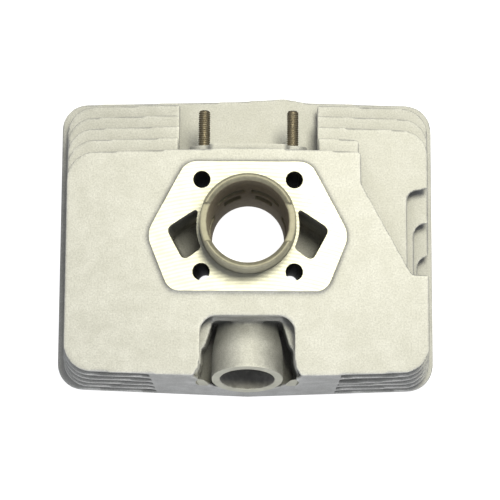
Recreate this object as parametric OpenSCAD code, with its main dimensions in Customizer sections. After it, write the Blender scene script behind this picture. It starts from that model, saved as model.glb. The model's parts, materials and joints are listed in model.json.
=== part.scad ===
// Barrel of a small air-cooled two-stroke engine, 38 mm bore, rectangular fins.
// Origin: centre of the bore at the head gasket face. +Z runs to the crankcase,
// +Y is the intake side, -Y the exhaust side. Millimetres.

/* [Bore and liner] */
// Bore diameter
bore_d = 38; // [37.6:0.1:38.4]
// Wall thickness of the pressed-in liner
liner_wall = 3.5; // [3:0.1:3.6]
// Height from the head face to the crankcase face
barrel_h = 70; // [69:0.5:72]
// Length of liner that enters the crankcase
spigot_h = 18; // [14:0.5:20]
// How much larger the pressed-in part of the liner is than its spigot, on the radius
press_step = 0.5; // [0.3:0.1:0.6]
// Depth of the chamfer inside the rim of the spigot
rim_chamfer = 2.4; // [1:0.1:2.5]
// Depth of the two notches in the spigot rim
notch_depth = 2.6; // [1:0.1:4]

/* [Base joint] */
// Distance between the crankcase studs, both ways
stud_pitch = 44; // [43.6:0.1:44.4]
// Diameter of the through holes for the crankcase studs
stud_hole_d = 8.3; // [7.8:0.1:8.4]
// Height of the machined pad above the first fin
pad_rise = 2; // [1:0.1:2.4]

/* [Fins] */
// Distance from fin to fin
fin_pitch = 12; // [11.9:0.1:12.1]
// Thickness of a fin
fin_t = 3.2; // [2.8:0.1:3.6]
// Reach of the first fin to the left of the bore
fin_left = 86.8; // [86:0.2:88]
// Reach of the first fin to the right of the bore
fin_right = 86.1; // [85.5:0.1:87]
// Reach of the first fin on the intake side, at its middle
fin_top = 38.2; // [37.8:0.1:38.6]
// Reach of the first fin on the exhaust side, at its middle
fin_bottom = 72; // [71.5:0.1:72.5]
// Radius of the fin corners
corner_r = 13.5; // [11:0.5:14]

/* [Head joint] */
// Thickness of the head flange at its edge
flange_t = 5.5; // [4:0.5:6]
// Half the width of the machined gasket pad
gasket_half = 35; // [33:0.5:38]

/* [Intake] */
// Distance of the intake gasket face from the bore axis
intake_y = 42; // [41.5:0.1:42.5]
// Distance between the two intake studs
intake_pitch = 44; // [43.6:0.1:44.4]
// Diameter of the intake studs
intake_stud_d = 5.9; // [5.8:0.05:6]
// How far the intake studs stand out of the face
intake_stud_out = 18.8; // [17:0.2:20]

/* [Exhaust] */
// Outer diameter of the exhaust stub
stub_d = 34.7; // [34.2:0.1:35.2]
// Diameter of the mouth of the stub
stub_mouth_d = 26.7; // [26:0.1:27]
// Diameter of the exhaust duct behind the mouth
duct_d = 22.6; // [22:0.2:23]
// Tilt of the stub towards the crankcase, in degrees
stub_tilt = 21; // [20:0.5:22]

/* [Hidden] */
$fn = 96;
EPS = 0.02;
bore_r = bore_d / 2;
liner_r = bore_r + liner_wall;
press_r = liner_r + press_step;
total_h = barrel_h + spigot_h;
half_pitch = stud_pitch / 2;

// Fins: number 0 is next to the crankcase, number 5 is the head flange
FLANGE = 5;
face_z = barrel_h - pad_rise;
flange_z = face_z - FLANGE * fin_pitch;
left_step = 1.7;
right_step = 1.65;
top_step = 8.15;
bottom_step = 1.84;
top_slope = 0.035;
bottom_slope = 0.037;
flange_left = 98.3;
flange_right = 96.1;
flange_top = 73.9;

// Cut-outs in the fins on the right-hand side
cut_x = 54.2;
cut_y = 20.5;
cut_foot = [77.9, -22.8];
notch_x = [0, 0, 79, 83.9, 87];
notch_y = 22.1;
notch_step = 15.6;
notch_end = -24;

// Exhaust side: slot through the fins, wall behind it, skin under it
slot_half = 22.4;
slot_flare = [25.4, -66];
slot_top = -42.5;
boss_half = 17;
boss_draft = 0.05;
skin_t = 1.8;
skin_left = 47;
skin_right = 45;
skin_gap_r = 19.6;
stub_end = [0, -72.5, 48];
stub_straight = 12;
stub_neck_r = 15.2;
stub_len = 44;
mouth_depth = 14;
duct_len = 62;

// Intake side: pocket in the fins, flange with two ears
pocket_half = 33.2;
pocket_step = 0.55;
pocket_floor = 20;
intake_z = 44;
flange_mid = [19.2, 33, 56];
ear = [29.2, 36.6, 51.3];
ear_r = 7.3;
intake_port = [13.5, 6.5];
intake_port_drop = 23.5;
stud_depth = 12;
stud_root_r = 2.5;
stud_sink = [3.2, 0.8];

// Ports in the liner wall: [start angle, end angle, low z, high z] from +Y
INTAKE_WINDOW = [5.5, 51, 49, 58.5];
BOOST_WINDOW = [11, 38, 28, 41];
TRANSFER_WINDOW = [62, 122, 28, 41];
transfer_wall_r = 24.5;

// Corners of the machined base pad and of the right transfer port: [x, y, radius]
PAD_RIGHT = [[37.2, -31.1, 7.5], [48.1, -4.2, 11.5], [29.6, 30.8, 8.5]];
TRANSFER_RIGHT = [[18, -7.7, 0], [30.4, -17, 2.2], [38.8, -1.5, 3], [18, 12.2, 0]];
core_inset = 1.5;

// The casting round the liner is divided at these planes: [exhaust boss, intake boss]
core_split = [-17, 13];
core_reach = 60;

CAST = "#d8d8ca";
MACHINED = "#f4f4ec";
LINER = "#cfc8a8";
STUD = "#82765f";

// ---- outlines -------------------------------------------------------------

// Points of an arc of radius r that replaces corner p between a and b
function corner(a, p, b, r, n = 8) =
    r == 0 ? [p] :
    let (u = (a - p) / norm(a - p),
         w = (b - p) / norm(b - p),
         half = acos(u * w) / 2,
         c = p + (u + w) / norm(u + w) * r / sin(half),
         t1 = p + u * r / tan(half) - c,
         t2 = p + w * r / tan(half) - c,
         a1 = atan2(t1[1], t1[0]),
         turn = (atan2(t2[1], t2[0]) - a1 + 540) % 360 - 180)
    [for (i = [0:n]) c + r * [cos(a1 + turn * i / n), sin(a1 + turn * i / n)]];

function xy(v) = [v[0], v[1]];

// Closed outline with rounded corners from a list of [x, y, radius]
function rounded(v, n = 8) =
    [for (i = [0:len(v) - 1])
        each corner(xy(v[(i + len(v) - 1) % len(v)]), xy(v[i]), xy(v[(i + 1) % len(v)]),
                    v[i][2], n)];

// Mirror image of a right-hand list, in the order that closes the outline
function left_of(v) = [for (i = [len(v) - 1:-1:0]) [-v[i][0], v[i][1], v[i][2]]];

// Band of a ring between two angles measured from +Y towards +X
function band(r0, r1, a0, a1, n = 12) =
    concat([for (i = [0:n]) let (a = a0 + (a1 - a0) * i / n) r0 * [sin(a), cos(a)]],
           [for (i = [n:-1:0]) let (a = a0 + (a1 - a0) * i / n) r1 * [sin(a), cos(a)]]);

function inset(v, d) = [for (p = v) [p[0] - sign(p[0]) * d, p[1] - sign(p[1]) * d, p[2]]];
function fin_z(k) = face_z - k * fin_pitch;
function top_y(k, x) = fin_top + top_step * k - top_slope * abs(x);
function bottom_y(k, x) = -fin_bottom - bottom_step * k + bottom_slope * abs(x);

pad_outline = concat(PAD_RIGHT, left_of(PAD_RIGHT));
core_outline = inset(pad_outline, core_inset);

// Right-hand half of the slot round the exhaust stub, from the top outwards
function slot(k) =
    k == 0 ? [[slot_half, slot_top, 8], [slot_half, slot_flare[1], 8]] :
    [[boss_half - 0.5, slot_top - 2, 0.6], [20.2, -56.5, 0.6], [21.9, -58, 0.6],
     [slot_half, slot_flare[1], 8]];

// Right-hand edge of a fin from its lower corner to its upper one
function right_edge(k) =
    let (w = fin_right + right_step * k)
    concat([[w, bottom_y(k, w), corner_r]],
           k < 2 ? [[w, cut_foot[1], 1.2], [cut_foot[0], cut_foot[1], 3],
                    [cut_x, cut_y, 5], [cut_x, top_y(k, cut_x), 2.5]]
                 : [[w, notch_end, 0.8], [notch_x[k], notch_end, 3],
                    [notch_x[k], notch_y - 1.4 - notch_step * (k - 2), 5],
                    [w, notch_y - notch_step * (k - 2), 0.8], [w, top_y(k, w), corner_r]]);

// Intake edge of a fin, from right to left; all but the first have the pocket
function intake_edge(k) =
    let (h = pocket_half + pocket_step * k)
    k == 0 ? [[0, top_y(0, 0), 0]]
           : [[h, top_y(k, h), 0.8], [h, pocket_floor, 0], [-h, pocket_floor, 0],
              [-h, top_y(k, h), 0.8]];

function fin_outline(k) =
    let (w = fin_left + left_step * k)
    concat(slot(k), [[slot_flare[0], bottom_y(k, slot_flare[0]), 0.8]],
           right_edge(k), intake_edge(k), [[-w, top_y(k, w), corner_r]],
           [[-w, bottom_y(k, w), corner_r], [-slot_flare[0], bottom_y(k, slot_flare[0]), 0.8]],
           left_of(slot(k)));

flange_outline = [
    [0, bottom_y(FLANGE, 0), 0],
    [flange_right, bottom_y(FLANGE, flange_right), corner_r],
    [flange_right, flange_top - 2.2, corner_r],
    [30, flange_top - 0.4, 12],
    [19, flange_top + 1.6, 12],
    [8, flange_top + 0.9, 12],
    [-8, flange_top - 0.1, 12],
    [-flange_left, flange_top - 2.4, corner_r],
    [-flange_left, bottom_y(FLANGE, flange_left), corner_r]];

gasket_outline = [for (c = [[1, -1], [1, 1], [-1, 1], [-1, -1]])
                  [c[0] * gasket_half, c[1] * gasket_half, 12]];

// ---- cutters --------------------------------------------------------------

module stud_holes(z0, z1) {
    for (sx = [-1, 1])
        for (sy = [-1, 1])
            translate([sx * half_pitch, sy * half_pitch, z0 - EPS])
                cylinder(d = stud_hole_d, h = z1 - z0 + 2 * EPS);
}

module liner_hole(z0, z1) {
    translate([0, 0, z0 - EPS]) cylinder(r = press_r, h = z1 - z0 + 2 * EPS);
}

// Both transfer passages, open at the base face
module transfer_passages(z1) {
    for (side = [0, 1])
        mirror([side, 0, 0])
            difference() {
                translate([0, 0, TRANSFER_WINDOW[2]])
                    linear_extrude(z1 - TRANSFER_WINDOW[2]) polygon(rounded(TRANSFER_RIGHT));
                translate([0, 0, TRANSFER_WINDOW[3]]) cylinder(r = transfer_wall_r, h = z1);
            }
}

// Pair of windows through the liner wall, one each side of +Y
module window_pair(w, r0, r1) {
    for (side = [0, 1])
        mirror([side, 0, 0])
            translate([0, 0, w[2]])
                linear_extrude(w[3] - w[2]) polygon(band(r0, r1, w[0], w[1]));
}

// Local frame of the exhaust: +Z points inwards from the end of the stub
module on_exhaust_axis() {
    translate(stub_end) rotate([-90 - stub_tilt, 0, 0]) children();
}

module exhaust_duct() {
    on_exhaust_axis() translate([0, 0, -1]) cylinder(d = duct_d, h = duct_len);
}

// Flat oval duct from the intake face down to the intake windows
module intake_duct() {
    half = intake_port[0];
    r = intake_port[1];
    translate([0, intake_y + 2, intake_z - 1])
        rotate([90 - intake_port_drop, 0, 0])
            linear_extrude(27)
                polygon(rounded([[half, -r, r - 0.1], [half, r, r - 0.1],
                                 [-half, r, r - 0.1], [-half, -r, r - 0.1]]));
}

// Outer shape of the barrel between the fins, with the boss behind the exhaust
module core_column(z0, z1) {
    translate([0, 0, z0]) linear_extrude(z1 - z0) polygon(rounded(core_outline));
    rotate([90, 0, 90])
        translate([0, 0, -boss_half])
            linear_extrude(2 * boss_half)
                polygon([[-25, z0], [slot_top - boss_draft * (face_z - z0), z0],
                         [slot_top - boss_draft * (face_z - z1), z1], [-25, z1]]);
}

// Skin that joins the fin edges under the exhaust stub
module skin_solid() {
    z1 = face_z - fin_t;
    y1 = bottom_y((face_z - z1) / fin_pitch, 0);
    y0 = bottom_y(FLANGE, 0);
    pivot = (y0 + y1) / 2;
    difference() {
        for (side = [-1, 1])
            translate([0, pivot, 0])
                rotate([0, 0, side * atan(bottom_slope)])
                    translate([side < 0 ? -skin_left : -1, -pivot, 0])
                        rotate([90, 0, 90])
                            linear_extrude(1 + (side < 0 ? skin_left : skin_right))
                                polygon([[y0, flange_z], [y0 + skin_t, flange_z],
                                         [y1 + skin_t, z1], [y1, z1]]);
        translate([0, -60, stub_end[2]]) rotate([90, 0, 0]) cylinder(r = skin_gap_r, h = 40);
        translate([0, -60, 0])
            rotate([90, 0, 0])
                linear_extrude(40)
                    polygon([[19, 43], [21.4, 50], [25.4, 64], [26.5, 75],
                             [-26.5, 75], [-25.4, 64], [-21.4, 50], [-19, 43]]);
    }
}

// ---- parts ----------------------------------------------------------------

module cylinder_liner() {
    chamfer = 1;
    inner_chamfer = 1.6;
    notch_high = 8.5;
    notch_low = -9.4;
    color(LINER)
        difference() {
            rotate_extrude()
                polygon([[bore_r, 0], [press_r, 0], [press_r, barrel_h], [liner_r, barrel_h],
                         [liner_r, total_h - 1.4], [liner_r - chamfer, total_h],
                         [bore_r + inner_chamfer, total_h],
                         [bore_r, total_h - rim_chamfer]]);
            translate([-liner_r - 1, notch_low, total_h - notch_depth])
                cube([2 * liner_r + 2, notch_high - notch_low, notch_depth + 1]);
            window_pair(INTAKE_WINDOW, bore_r - 2, press_r + 2);
            window_pair(BOOST_WINDOW, bore_r - 2, press_r + 2);
            window_pair(TRANSFER_WINDOW, bore_r - 2, press_r + 2);
            exhaust_duct();
        }
}

// One part of the casting round the liner, between two corners on the plan
module core_part(a, b) {
    z1 = face_z - fin_t;
    color(CAST)
        difference() {
            intersection() {
                core_column(flange_z, z1);
                translate([a[0], a[1], 0]) cube([b[0] - a[0], b[1] - a[1], barrel_h]);
            }
            liner_hole(flange_z, z1);
            stud_holes(flange_z, z1);
            transfer_passages(z1 + 1);
            window_pair(BOOST_WINDOW, press_r - 1, press_r + 4);
            exhaust_duct();
            intake_duct();
            on_exhaust_axis() cylinder(r = stub_neck_r, h = stub_len);
        }
}

module exhaust_boss() { core_part([-core_reach, -core_reach], [core_reach, core_split[0]]); }
module intake_boss_left() { core_part([-core_reach, core_split[1]], [0, core_reach]); }
module intake_boss_right() { core_part([0, core_split[1]], [core_reach, core_reach]); }
module transfer_wall_left() { core_part([-core_reach, core_split[0]], [0, core_split[1]]); }
module transfer_wall_right() { core_part([0, core_split[0]], [core_reach, core_split[1]]); }

module base_flange() {
    z0 = face_z - fin_t;
    color(MACHINED)
        difference() {
            translate([0, 0, z0]) linear_extrude(barrel_h - z0) polygon(rounded(pad_outline));
            liner_hole(z0, barrel_h);
            stud_holes(z0, barrel_h);
            transfer_passages(barrel_h + 1);
        }
}

module fin(k) {
    z0 = fin_z(k) - fin_t;
    color(CAST)
        difference() {
            translate([0, 0, z0]) linear_extrude(fin_t) polygon(rounded(fin_outline(k)));
            if (k == 0)
                translate([0, 0, z0 - 1]) linear_extrude(fin_t + 2) polygon(rounded(pad_outline));
            else {
                core_column(z0 - 1, z0 + fin_t + 1);
                skin_solid();
                on_exhaust_axis() cylinder(r = stub_neck_r, h = stub_len);
            }
        }
}

module fin_1() { fin(0); }
module fin_2() { fin(1); }
module fin_3() { fin(2); }
module fin_4() { fin(3); }
module fin_5() { fin(4); }

module head_flange() {
    color(CAST)
        difference() {
            union() {
                translate([0, 0, flange_z - flange_t])
                    linear_extrude(flange_t) polygon(rounded(flange_outline));
                linear_extrude(flange_z) polygon(rounded(gasket_outline));
            }
            liner_hole(0, flange_z);
            stud_holes(0, flange_z);
        }
}

module intake_flange() {
    depth = intake_y - pocket_floor;
    color(CAST)
        difference() {
            translate([0, intake_y, 0])
                rotate([90, 0, 0]) {
                    linear_extrude(depth)
                        polygon(rounded([[flange_mid[0], flange_mid[1], 5],
                                         [flange_mid[0], flange_mid[2], 2],
                                         [-flange_mid[0], flange_mid[2], 2],
                                         [-flange_mid[0], flange_mid[1], 5]]));
                    linear_extrude(depth)
                        polygon(rounded([[ear[0], ear[1], ear_r], [ear[0], ear[2], ear_r],
                                         [-ear[0], ear[2], ear_r], [-ear[0], ear[1], ear_r]]));
                }
            core_column(flange_z, face_z - fin_t);
            intake_duct();
            for (side = [-1, 1])
                translate([side * intake_pitch / 2, intake_y + 1, intake_z])
                    rotate([90, 0, 0]) {
                        cylinder(r = stud_root_r, h = stud_depth + 1);
                        cylinder(r = stud_sink[0], h = stud_sink[1] + 1);
                    }
        }
}

// Stud along +Y: its screwed-in root, then the thread that stands out of the face
module intake_stud(side) {
    r = intake_stud_d / 2;
    len = stud_depth + intake_stud_out;
    color(STUD)
        translate([side * intake_pitch / 2, intake_y - stud_depth, intake_z])
            rotate([-90, 0, 0])
                rotate_extrude()
                    polygon([[0, 0], [stud_root_r, 0], [stud_root_r, stud_depth],
                             [r, stud_depth], [r, len - 1], [r - 1, len], [0, len]]);
}

module intake_stud_left() { intake_stud(-1); }
module intake_stud_right() { intake_stud(1); }

module exhaust_stub() {
    steps = 8;
    neck_len = 16;
    r = stub_d / 2;
    neck = [for (i = [0:steps])
        [stub_neck_r + (r - stub_neck_r) * (1 + cos(180 * i / steps)) / 2,
         stub_straight + neck_len * i / steps]];
    color(CAST)
        difference() {
            on_exhaust_axis()
                rotate_extrude()
                    polygon(concat([[0, 0], [r, 0]], neck, [[stub_neck_r, stub_len], [0, stub_len]]));
            on_exhaust_axis() translate([0, 0, -1]) cylinder(d = stub_mouth_d, h = mouth_depth + 1);
            exhaust_duct();
        }
}

module exhaust_skin() {
    color(CAST) skin_solid();
}

cylinder_liner();
exhaust_boss();
intake_boss_left();
intake_boss_right();
transfer_wall_left();
transfer_wall_right();
base_flange();
fin_1();
fin_2();
fin_3();
fin_4();
fin_5();
head_flange();
intake_flange();
intake_stud_left();
intake_stud_right();
exhaust_stub();
exhaust_skin();
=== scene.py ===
import json
import math

import bmesh
import bpy
from mathutils import Matrix, Vector


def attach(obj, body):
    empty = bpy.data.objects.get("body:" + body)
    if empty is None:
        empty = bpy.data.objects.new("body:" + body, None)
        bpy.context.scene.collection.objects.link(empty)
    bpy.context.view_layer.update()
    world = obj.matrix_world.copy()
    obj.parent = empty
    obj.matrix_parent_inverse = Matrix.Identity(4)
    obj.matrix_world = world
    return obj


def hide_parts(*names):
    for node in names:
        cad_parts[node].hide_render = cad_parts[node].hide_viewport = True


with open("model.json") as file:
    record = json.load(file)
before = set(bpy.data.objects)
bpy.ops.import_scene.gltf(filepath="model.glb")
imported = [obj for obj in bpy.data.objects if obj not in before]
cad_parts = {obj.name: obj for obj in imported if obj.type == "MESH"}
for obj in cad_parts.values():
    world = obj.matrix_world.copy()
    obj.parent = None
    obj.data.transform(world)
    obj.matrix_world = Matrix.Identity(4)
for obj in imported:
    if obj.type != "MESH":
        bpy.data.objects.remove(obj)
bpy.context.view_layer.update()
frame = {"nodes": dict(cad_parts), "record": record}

# Barrel of a small air-cooled two-stroke engine, standing on its head gasket face.
# The casting is made as the real one is: poured in one piece with machining stock on
# its faces, then milled, bored and drilled. Metres, +Z towards the crankcase.

MM = 0.001

# ---- the casting and its machining -----------------------------------------
ALUMINIUM = ("cast_aluminium", "machined_aluminium")
CAST_NODES = [part["node"] for part in frame["record"]["subparts"]
              if part["material_slot"] in ALUMINIUM]
STOCK = 1.2 * MM            # extra metal on each face before it is milled
STOCK_REACH = 0.08          # how far round its point a milled face goes
ON_FACE = 0.02 * MM         # a corner this close to a face lies on it
PAST = 0.01                 # how far a cutter goes past the metal
THROUGH = 0.1               # length of a drill that goes right through
TABLE = 0.12                # half the width of the cutters for whole faces

# How a shape is formed: [fineness of its grid, rounds of smoothing, faces kept]
SAND_MOULD = (0.8 * MM, 10, 150000)     # the mould rounds edges and fills corners
LATHE_AND_HONE = (0.5 * MM, 4, 90000)   # the lathe and the hone only break edges

BASE_Z = 70.0 * MM          # milled face towards the crankcase
INTAKE_Y = 42.0 * MM        # milled face towards the intake manifold
INTAKE_HALF = 34.25 * MM
INTAKE_Z = (30.0 * MM, 60.0 * MM)
LINER_SEAT_R = 22.96 * MM
LINER_REACH = 0.03          # half the width of the cutter for the liner's end
STUD_SQUARE = 44.0 * MM
STUD_HOLE_R = 4.15 * MM

# Exhaust stub: middle of its end face and the way it points
STUB_END = Vector((0.0, -72.5, 48.0)) * MM
STUB_TILT = math.radians(21.0)
STUB_OUT = Vector((0.0, -math.cos(STUB_TILT), math.sin(STUB_TILT)))
STUB_FACE_R = 25 * MM       # radius of the cutter that faces the stub's end
STUB_MOUTH_R = 13.35 * MM
STUB_MOUTH_DEPTH = 14.0 * MM

# ---- the intake studs, M6 x 1 ----------------------------------------------
STUD_R = 2.95 * MM
STUD_ROOT_R = 2.42 * MM
STUD_PITCH = 1.0 * MM
STUD_X = 22.0 * MM
STUD_Z = 44.0 * MM
STUD_Y = (40.5 * MM, 60.8 * MM)
STUD_CHAMFER = 0.9 * MM
STUD_SIDES = 48
ROWS_PER_TURN = 10
FLAT_ROOT = 0.14            # share of half a pitch that is the flat bottom of the thread
FLANK = 0.66                # share of half a pitch that is its sloping side

WAVE_PERIOD = 2 * math.pi / 20      # a wave texture repeats after this scaled length

# ---- camera and surroundings -------------------------------------------------
VIEW_AIM = Vector((1.06, -11.65, 70.0)) * MM
VIEW_DISTANCE = 0.5966
VIEW_TIP = math.radians(6.09)
VIEW_ROLL = math.radians(0.30)
LENS_LENGTH, SENSOR_WIDTH = 90.87, 36.0
FLOOR_HALF = 12.0
SKY_STRENGTH = 0.33


# ---- materials ---------------------------------------------------------------

def srgb(code, alpha=1.0):
    """Linear colour of an sRGB hex code."""
    parts = [int(code[i:i + 2], 16) / 255 for i in (1, 3, 5)]
    return tuple(c / 12.92 if c <= 0.04045 else ((c + 0.055) / 1.055) ** 2.4
                 for c in parts) + (alpha,)


def new_material(name, **sockets):
    """A Principled material with constant values set on its own sockets."""
    mat = bpy.data.materials.new(name)
    mat.use_nodes = True
    shader = mat.node_tree.nodes["Principled BSDF"]
    for key, value in sockets.items():
        shader.inputs[key.replace("_", " ")].default_value = value
    return mat, mat.node_tree, shader


def add(tree, kind, links=None, **settings):
    """Add a node; links maps an input to a value or to another node's output."""
    made = tree.nodes.new("ShaderNode" + kind)
    for key, value in settings.items():
        setattr(made, key, value)
    for key, value in (links or {}).items():
        socket = made.inputs[key]
        if isinstance(value, bpy.types.NodeSocket):
            tree.links.new(value, socket)
        else:
            socket.default_value = value
    return made


def deep_shade(tree, colour, reach, low):
    """Painted shade: darken a colour inside cavities, gaps and recesses, by how closed in
    they are.
    """
    cavity = add(tree, "AmbientOcclusion", {"Distance": reach}, samples=6)
    depth = add(tree, "MapRange", {"Value": cavity.outputs["AO"], "From Min": 0.10,
                                   "From Max": 0.85, "To Min": low, "To Max": 1.0})
    return add(tree, "Mix", {"Factor": 1.0, "A": colour, "B": depth.outputs["Result"]},
               data_type="RGBA", blend_type="MULTIPLY").outputs["Result"]


def per_mm(size):
    """Texture scale for a pattern whose features are size millimetres across."""
    return 1.0 / (size * MM)


def wave_per_mm(spacing):
    """Texture scale for a wave whose lines are spacing millimetres apart."""
    return WAVE_PERIOD / (spacing * MM)


def blasted_casting():
    """Bead-blasted cast aluminium: matt and pale, with a fine even grain that scatters
    the light, faint clouds from the mould, brighter sharp edges, and painted shade in
    creases and cavities."""
    mat, tree, shader = new_material("bead_blasted_cast_aluminium", Metallic=1.0)
    place = add(tree, "NewGeometry")
    spot = add(tree, "TexCoord").outputs["Object"]
    clouds = add(tree, "TexNoise", {"Vector": spot, "Scale": per_mm(9.0), "Detail": 5.0,
                                    "Roughness": 0.62})
    # the bead dents are about 0.2 mm across; drawn at 0.8 mm so that they show
    grain = add(tree, "TexNoise", {"Vector": spot, "Scale": per_mm(0.8), "Detail": 3.0,
                                   "Roughness": 0.7})
    tone = add(tree, "ValToRGB", {"Fac": clouds.outputs["Fac"]})
    ramp = tone.color_ramp
    ramp.elements[0].position, ramp.elements[0].color = 0.34, srgb("#D2D2CE")
    ramp.elements[1].position, ramp.elements[1].color = 0.66, srgb("#E6E6E3")
    speck = add(tree, "MapRange", {"Value": grain.outputs["Fac"], "From Min": 0.3,
                                   "From Max": 0.62, "To Min": 0.84, "To Max": 1.05})
    grained = add(tree, "Mix", {"Factor": 1.0, "A": tone.outputs["Color"],
                                "B": speck.outputs["Result"]},
                  data_type="RGBA", blend_type="MULTIPLY")
    # painted shade in concave creases, and sharp edges brightened, both by the surface's
    # curvature
    crease_shade_edge_lift = add(tree, "MapRange", {"Value": place.outputs["Pointiness"], "From Min": 0.47,
                                    "From Max": 0.56, "To Min": 0.80, "To Max": 1.08})
    grain_and_crease_shade = add(tree, "Mix", {"Factor": 1.0, "A": grained.outputs["Result"],
                             "B": crease_shade_edge_lift.outputs["Result"]},
               data_type="RGBA", blend_type="MULTIPLY")
    rough = add(tree, "MapRange", {"Value": clouds.outputs["Fac"], "From Min": 0.3,
                                   "From Max": 0.7, "To Min": 0.72, "To Max": 0.80})
    dents = add(tree, "Bump", {"Height": grain.outputs["Fac"], "Distance": 0.10 * MM,
                               "Strength": 0.7})
    # painted shade: fin gaps, ports and the steps below the fin edges darkened by
    # occlusion
    tree.links.new(deep_shade(tree, grain_and_crease_shade.outputs["Result"], 20 * MM, 0.50),
                   shader.inputs["Base Color"])
    tree.links.new(rough.outputs["Result"], shader.inputs["Roughness"])
    tree.links.new(dents.outputs["Normal"], shader.inputs["Normal"])
    return mat


def milled_aluminium():
    """Face-milled aluminium: nearly white satin, with the faint arcs of the cutter."""
    mat, tree, shader = new_material("face_milled_aluminium", Metallic=1.0)
    spot = add(tree, "TexCoord").outputs["Object"]
    # feed marks of the face mill are about 0.4 mm apart; drawn 1.8 mm apart to show
    shifted = add(tree, "Mapping", {"Vector": spot, "Location": (0.0, 0.16, 0.0)})
    arcs = add(tree, "TexWave", {"Vector": shifted.outputs["Vector"],
                                 "Scale": wave_per_mm(1.777), "Distortion": 0.6,
                                 "Detail": 1.0}, wave_type="RINGS", rings_direction="Z")
    mist = add(tree, "TexNoise", {"Vector": spot, "Scale": per_mm(5.0), "Detail": 4.0})
    tone = add(tree, "ValToRGB", {"Fac": mist.outputs["Fac"]})
    ramp = tone.color_ramp
    ramp.elements[0].position, ramp.elements[0].color = 0.35, srgb("#CECDBF")
    ramp.elements[1].position, ramp.elements[1].color = 0.65, srgb("#DAD9CB")
    rough = add(tree, "MapRange", {"Value": arcs.outputs["Fac"], "To Min": 0.58,
                                   "To Max": 0.66})
    feed = add(tree, "Bump", {"Height": arcs.outputs["Fac"], "Distance": 0.01 * MM,
                              "Strength": 0.4})
    # painted shade: the drilled stud holes and bored seats darkened by occlusion
    tree.links.new(deep_shade(tree, tone.outputs["Color"], 16 * MM, 0.18),
                   shader.inputs["Base Color"])
    tree.links.new(rough.outputs["Result"], shader.inputs["Roughness"])
    tree.links.new(feed.outputs["Normal"], shader.inputs["Normal"])
    return mat


def dull_duct():
    """Bored aluminium of the gas duct: a duller, darker grey than the milled faces,
    faintly mottled.
    """
    mat, tree, shader = new_material("bored_duct_aluminium", Metallic=1.0, Roughness=0.82)
    spot = add(tree, "TexCoord").outputs["Object"]
    mottle = add(tree, "TexNoise", {"Vector": spot, "Scale": per_mm(3.0), "Detail": 5.0})
    tone = add(tree, "ValToRGB", {"Fac": mottle.outputs["Fac"]})
    ramp = tone.color_ramp
    ramp.elements[0].position, ramp.elements[0].color = 0.34, srgb("#A2A19E")
    ramp.elements[1].position, ramp.elements[1].color = 0.66, srgb("#B8B7B4")
    tree.links.new(tone.outputs["Color"], shader.inputs["Base Color"])
    return mat


def honed_liner():
    """Cast iron liner: its turned spigot and rim have a pale straw tint, and the honed
    bore is a browner grey."""
    mat, tree, shader = new_material("honed_cast_iron", Metallic=1.0)
    spot = add(tree, "TexCoord").outputs["Object"]
    split = add(tree, "SeparateXYZ", {"Vector": spot})
    flat = add(tree, "CombineXYZ", {"X": split.outputs["X"], "Y": split.outputs["Y"]})
    radius = add(tree, "VectorMath", {0: flat.outputs["Vector"]}, operation="LENGTH")
    inside = add(tree, "MapRange", {"Value": radius.outputs["Value"],
                                    "From Min": 19.05 * MM, "From Max": 19.30 * MM,
                                    "To Min": 1.0, "To Max": 0.0})
    mist = add(tree, "TexNoise", {"Vector": spot, "Scale": per_mm(2.5), "Detail": 5.0,
                                  "Roughness": 0.65})
    rim = add(tree, "ValToRGB", {"Fac": mist.outputs["Fac"]})
    rim.color_ramp.elements[0].position = 0.34
    rim.color_ramp.elements[0].color = srgb("#A8A594")
    rim.color_ramp.elements[1].position = 0.66
    rim.color_ramp.elements[1].color = srgb("#BCB9A8")
    bore = add(tree, "ValToRGB", {"Fac": mist.outputs["Fac"]})
    bore.color_ramp.elements[0].position = 0.34
    bore.color_ramp.elements[0].color = srgb("#A49A88")
    bore.color_ramp.elements[1].position = 0.66
    bore.color_ramp.elements[1].color = srgb("#BAB19F")
    colour = add(tree, "Mix", {"Factor": inside.outputs["Result"],
                               "A": rim.outputs["Color"], "B": bore.outputs["Color"]},
                 data_type="RGBA")
    # turning marks along the axis are about 0.3 mm apart; drawn 1.2 mm apart to show
    turned = add(tree, "TexWave", {"Vector": spot, "Scale": wave_per_mm(1.184),
                                   "Distortion": 0.3}, bands_direction="Z")
    marks = add(tree, "Bump", {"Height": turned.outputs["Fac"], "Distance": 0.012 * MM,
                               "Strength": 0.5})
    rough = add(tree, "MapRange", {"Value": mist.outputs["Fac"], "From Min": 0.3,
                                   "From Max": 0.7, "To Min": 0.72, "To Max": 0.80})
    tree.links.new(colour.outputs["Result"], shader.inputs["Base Color"])
    tree.links.new(rough.outputs["Result"], shader.inputs["Roughness"])
    tree.links.new(marks.outputs["Normal"], shader.inputs["Normal"])
    return mat


def rolled_steel():
    """Rolled steel thread, oiled and slightly browned, brighter on the crests."""
    mat, tree, shader = new_material("rolled_thread_steel", Metallic=1.0)
    spot = add(tree, "TexCoord").outputs["Object"]
    stain = add(tree, "TexNoise", {"Vector": spot, "Scale": per_mm(1.6), "Detail": 5.0,
                                   "Roughness": 0.7})
    tone = add(tree, "ValToRGB", {"Fac": stain.outputs["Fac"]})
    ramp = tone.color_ramp
    ramp.elements[0].position, ramp.elements[0].color = 0.36, srgb("#8C8474")
    ramp.elements[1].position, ramp.elements[1].color = 0.66, srgb("#A8A08E")
    rough = add(tree, "MapRange", {"Value": stain.outputs["Fac"], "From Min": 0.3,
                                   "From Max": 0.7, "To Min": 0.60, "To Max": 0.50})
    tree.links.new(tone.outputs["Color"], shader.inputs["Base Color"])
    tree.links.new(rough.outputs["Result"], shader.inputs["Roughness"])
    return mat


# ---- making meshes -----------------------------------------------------------

def put(name, mesh):
    """Add an object to the scene."""
    made = bpy.data.objects.new(name, mesh)
    bpy.context.scene.collection.objects.link(made)
    return made


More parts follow.
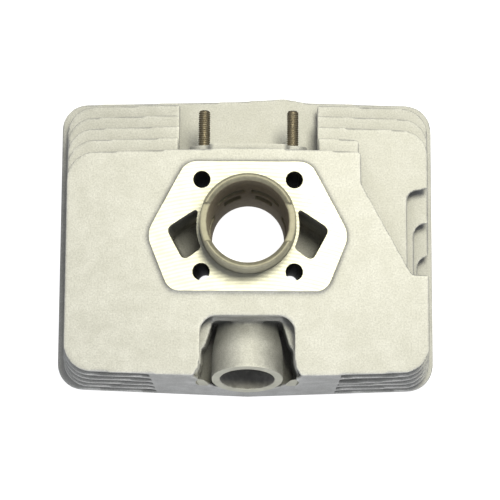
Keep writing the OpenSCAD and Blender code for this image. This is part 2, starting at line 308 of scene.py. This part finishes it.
def settle(piece):
    """Apply a piece's modifiers."""
    bpy.context.view_layer.update()
    shape = bpy.data.meshes.new_from_object(
        piece.evaluated_get(bpy.context.evaluated_depsgraph_get()))
    piece.modifiers.clear()
    old, piece.data = piece.data, shape
    shape.name = piece.name
    bpy.data.meshes.remove(old)


def block(low, high):
    """Cutter: a box between two corners."""
    bm = bmesh.new()
    bmesh.ops.create_cube(bm, size=1.0)
    low, high = Vector(low), Vector(high)
    for v in bm.verts:
        v.co = (low + high) / 2 + Vector([a * b for a, b in zip(v.co, high - low)])
    mesh = bpy.data.meshes.new("cutter")
    bm.to_mesh(mesh)
    bm.free()
    return mesh


def drill(start, way, length, radius, sides=96):
    """Cutter: a round bar from start along way."""
    bm = bmesh.new()
    bmesh.ops.create_cone(bm, cap_ends=True, segments=sides, radius1=radius,
                          radius2=radius, depth=length)
    turn = Vector((0, 0, 1)).rotation_difference(way).to_matrix().to_4x4()
    bmesh.ops.transform(bm, verts=bm.verts,
                        matrix=Matrix.Translation(start + way * length / 2) @ turn)
    mesh = bpy.data.meshes.new("cutter")
    bm.to_mesh(mesh)
    bm.free()
    return mesh


def machine(piece, cutters, finish):
    """Cut each tool's shape out of a piece; the cut faces get the finish."""
    tools = []
    for i, mesh in enumerate(cutters):
        mesh.materials.append(finish)
        tool = put(f"tool_{i}", mesh)
        tools.append(tool)
        cut = piece.modifiers.new(f"cut_{i}", "BOOLEAN")
        cut.operation, cut.solver, cut.object = "DIFFERENCE", "MANIFOLD", tool
        cut.material_mode = "TRANSFER"
    settle(piece)
    for tool in tools:
        mesh = tool.data
        bpy.data.objects.remove(tool)
        bpy.data.meshes.remove(mesh)


def form(name, nodes, how, stock_faces=()):
    """One solid from the CAD solids, with stock on the faces that are milled later."""
    grid, rounds, faces = how
    bm = bmesh.new()
    for node in nodes:
        bm.from_mesh(frame["nodes"][node].data)
    for point, way in stock_faces:
        for v in bm.verts:
            off = v.co - point
            if abs(off.dot(way)) < ON_FACE and off.length < STOCK_REACH:
                v.co += way * STOCK
    mesh = bpy.data.meshes.new(name)
    bm.to_mesh(mesh)
    bm.free()
    mesh.materials.clear()
    piece = put(name, mesh)
    solid = piece.modifiers.new("solid", "REMESH")
    solid.mode, solid.voxel_size = "VOXEL", grid
    rounding = piece.modifiers.new("rounding", "SMOOTH")
    rounding.factor, rounding.iterations = 0.5, rounds
    settle(piece)
    thin = piece.modifiers.new("thin", "DECIMATE")
    thin.ratio = min(1.0, faces / (2 * len(piece.data.polygons)))
    settle(piece)
    return piece


def shade(piece, angle):
    """Smooth shading, with edges over the angle kept crisp."""
    piece.data.shade_smooth()
    piece.data.set_sharp_from_angle(angle=math.radians(angle))


def make_casting():
    up = Vector((0, 0, 1))
    casting = form("barrel_casting", CAST_NODES, SAND_MOULD,
                   [(up * BASE_Z, up), (Vector((0, 0, 0)), -up),
                    (Vector((0, INTAKE_Y, STUD_Z)), Vector((0, 1, 0))),
                    (STUB_END, STUB_OUT)])
    casting.data.materials.append(blasted_casting())
    half = STUD_SQUARE / 2
    tools = [block((-TABLE, -TABLE, BASE_Z), (TABLE, TABLE, BASE_Z + PAST)),
             block((-TABLE, -TABLE, -PAST), (TABLE, TABLE, 0.0)),
             block((-INTAKE_HALF, INTAKE_Y, INTAKE_Z[0]),
                   (INTAKE_HALF, INTAKE_Y + PAST, INTAKE_Z[1])),
             drill(STUB_END, STUB_OUT, PAST, STUB_FACE_R),
             drill(Vector((0, 0, -PAST)), up, THROUGH, LINER_SEAT_R, 160)]
    tools += [drill(Vector((x, y, -PAST)), up, THROUGH, STUD_HOLE_R, 64)
              for x in (-half, half) for y in (-half, half)]
    machine(casting, tools, milled_aluminium())
    machine(casting, [drill(STUB_END + STUB_OUT * PAST, -STUB_OUT,
                            STUB_MOUTH_DEPTH + PAST, STUB_MOUTH_R)], dull_duct())
    shade(casting, 32)
    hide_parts(*CAST_NODES)
    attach(casting, "root")


def make_stud(name, x, finish):
    """Threaded stud along +Y, cut as one helical skin with a chamfered tip."""
    start, end = STUD_Y
    rows = int((end - start) / STUD_PITCH * ROWS_PER_TURN)
    bm = bmesh.new()
    rings = []
    for j in range(rows + 1):
        y = start + (end - start) * j / rows
        tip = STUD_R - STUD_CHAMFER + max(0.0, end - y)
        ring = []
        for i in range(STUD_SIDES):
            turn = i / STUD_SIDES
            phase = (y / STUD_PITCH - turn) % 1.0
            flank = min(1.0, max(0.0, (abs(phase - 0.5) * 2 - FLAT_ROOT) / FLANK))
            radius = STUD_ROOT_R + (STUD_R - STUD_ROOT_R) * flank
            radius = min(radius, tip)
            a = 2 * math.pi * turn
            ring.append(bm.verts.new((x + radius * math.cos(a), y,
                                      STUD_Z + radius * math.sin(a))))
        rings.append(ring)
    for low, high in zip(rings, rings[1:]):
        for i in range(STUD_SIDES):
            k = (i + 1) % STUD_SIDES
            bm.faces.new((low[i], high[i], high[k], low[k]))
    bm.faces.new(rings[0])
    bm.faces.new(list(reversed(rings[-1])))
    bmesh.ops.recalc_face_normals(bm, faces=bm.faces)
    mesh = bpy.data.meshes.new(name)
    bm.to_mesh(mesh)
    bm.free()
    stud = put(name, mesh)
    stud.data.materials.append(finish)
    shade(stud, 50)
    return stud


make_casting()

steel = rolled_steel()
for side, x in (("left", -STUD_X), ("right", STUD_X)):
    stud = make_stud(f"threaded_stud_{side}", x, steel)
    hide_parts(f"intake_stud_{side}")
    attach(stud, "root")

iron = honed_liner()
liner = form("pressed_in_liner", ["cylinder_liner"], LATHE_AND_HONE,
             [(Vector((0, 0, 0)), Vector((0, 0, -1)))])
liner.data.materials.append(iron)
machine(liner, [block((-LINER_REACH, -LINER_REACH, -PAST),
                      (LINER_REACH, LINER_REACH, 0.0))], iron)
shade(liner, 50)
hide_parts("cylinder_liner")
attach(liner, "root")

# ---- floor, light and camera ---------------------------------------------------

pale_floor = new_material("pale_floor", Base_Color=srgb("#9A9A9A"), Roughness=0.9,
                          Emission_Color=srgb("#FFFFFF"), Emission_Strength=1.0)[0]
floor_mesh = bpy.data.meshes.new("floor")
floor_mesh.from_pydata([(x * FLOOR_HALF, y * FLOOR_HALF, 0)
                        for x, y in ((-1, -1), (1, -1), (1, 1), (-1, 1))],
                       [], [(0, 1, 2, 3)])
floor_mesh.materials.append(pale_floor)
floor = put("floor", floor_mesh)
# the light table doesn't light the barrel; the studio does
floor.visible_diffuse = floor.visible_glossy = False

world = bpy.data.worlds.new("studio")
world.use_nodes = True
sky = world.node_tree.nodes["Background"]
sky.inputs["Color"].default_value = srgb("#F4F6FC")
sky.inputs["Strength"].default_value = SKY_STRENGTH
bpy.context.scene.world = world
bpy.context.scene.view_settings.view_transform = "Standard"


def soft_light(name, place, aim, width, power, colour):
    """Round soft light of the studio, turned towards a point."""
    lamp = bpy.data.lights.new(name, "AREA")
    lamp.shape, lamp.size, lamp.energy, lamp.color = "DISK", width, power, colour
    made = bpy.data.objects.new(name, lamp)
    made.location = place
    made.rotation_euler = (Vector(aim) - Vector(place)).to_track_quat("-Z", "Y").to_euler()
    bpy.context.scene.collection.objects.link(made)


soft_light("key", (0.08, 0.125, 0.64), (0, 0, 0.05), 0.18, 4.15, (1.0, 0.97, 0.79))
soft_light("bounce_card", (0.0, -0.50, 0.10), (0, 0, 0.04), 0.40, 1.1, (0.97, 0.98, 1.0))

# Camera looking down the bore, tipped a little, with a long lens
lens = bpy.data.cameras.new("camera")
lens.lens, lens.sensor_width = LENS_LENGTH, SENSOR_WIDTH
camera = bpy.data.objects.new("camera", lens)
camera.matrix_world = (
    Matrix.Translation(VIEW_AIM + Vector((0, -math.sin(VIEW_TIP), math.cos(VIEW_TIP)))
                       * VIEW_DISTANCE)
    @ Matrix.Rotation(VIEW_TIP, 4, "X") @ Matrix.Rotation(VIEW_ROLL, 4, "Z"))
bpy.context.scene.collection.objects.link(camera)
bpy.context.scene.camera = camera
